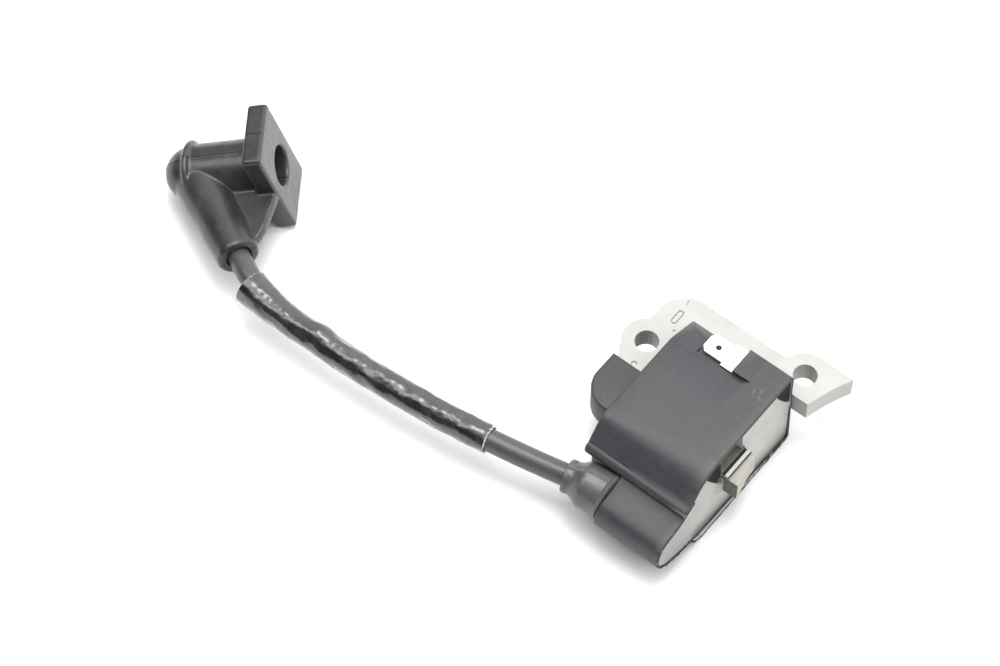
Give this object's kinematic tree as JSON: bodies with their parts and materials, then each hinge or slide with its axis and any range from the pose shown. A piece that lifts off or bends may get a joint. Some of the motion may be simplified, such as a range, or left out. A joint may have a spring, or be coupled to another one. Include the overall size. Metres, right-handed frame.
{
  "type": "ignition coil",
  "caption": "Ignition coil for a small two-stroke engine: U-shaped laminated core, black potted case with a kill-switch blade, sleeved high-tension lead and elbow plug boot.",
  "frame": {"origin": "on the core's flat mounting face, on the bolted leg's centre line, midway between the two bolt holes", "axes": "+Z out of the mounting face through the core's thickness, +X along the core's legs towards the flywheel, +Y from the coil leg towards the bolted leg"},
  "size_m": [0.1521, 0.0635, 0.0261],
  "materials": {
    "core_steel": "blanked electrical steel, satin, with faint stamping marks and a light oil film",
    "wedge_steel": "thin bright steel strip with a rolled grain",
    "case_plastic": "fine-textured black moulding, faint dust and a rough trimmed rim",
    "potting_resin": "filled grey casting resin with a dished, slightly uneven surface",
    "bobbin_plastic": "natural nylon",
    "copper_wire": "enamelled copper wire, wound in layers",
    "fine_copper_wire": "fine enamelled copper wire, wound in many layers",
    "tinned_terminal": "tin-plated blade, bright with faint blanking edges",
    "spring_steel": "tinned spring strip",
    "board_laminate": "green glass-fibre laminate",
    "component_black": "black moulded component body",
    "resistor_body": "beige lacquered body with plain bands",
    "pin_brass": "turned brass",
    "lead_copper": "stranded copper",
    "lead_rubber": "black high-voltage insulation with fine lengthwise drawing marks",
    "grommet_rubber": "black moulded rubber with a faint parting line",
    "varnished_sleeve": "glossy varnished braided sleeve, crinkled, frayed pale at its ends",
    "boot_rubber": "black moulded rubber, satin, with a parting line",
    "contact_steel": "plated spring wire"
  },
  "bodies": {
    "coil": {"core_lamination_1": "core_steel", "core_lamination_2": "core_steel", "core_lamination_3": "core_steel", "core_lamination_4": "core_steel", "core_lamination_5": "core_steel", "core_lamination_6": "core_steel", "core_lamination_7": "core_steel", "core_lamination_8": "core_steel", "coil_case": "case_plastic", "potting": "potting_resin", "primary_bobbin": "bobbin_plastic", "secondary_bobbin": "bobbin_plastic", "primary_winding": "copper_wire", "secondary_winding": "fine_copper_wire", "kill_switch_tab": "tinned_terminal", "ground_tab": "spring_steel", "circuit_board": "board_laminate", "switching_transistor": "component_black", "trigger_transistor": "component_black", "timing_resistor": "resistor_body", "core_wedge": "wedge_steel", "ht_output_pin": "pin_brass", "lead_conductor": "lead_copper", "lead_jacket": "lead_rubber", "lead_grommet": "grommet_rubber"},
    "sleeve": {"lead_sleeve": "varnished_sleeve"},
    "boot": {"plug_boot": "boot_rubber", "plug_contact_spring": "contact_steel"}
  },
  "joints": [
    {"name": "sleeve_travel", "type": "hinge", "parent": "coil", "child": "sleeve", "pos_m": [-0.07634, 0.246, 0], "axis": [0, 0, 1], "range_deg": [0, 2.69]},
    {"name": "boot_turn", "type": "hinge", "parent": "coil", "child": "boot", "pos_m": [-0.09841, -0.04742, 0.00006], "axis": [0.884, -0.4494, 0.129], "range_deg": [-60, 60]}
  ]
}
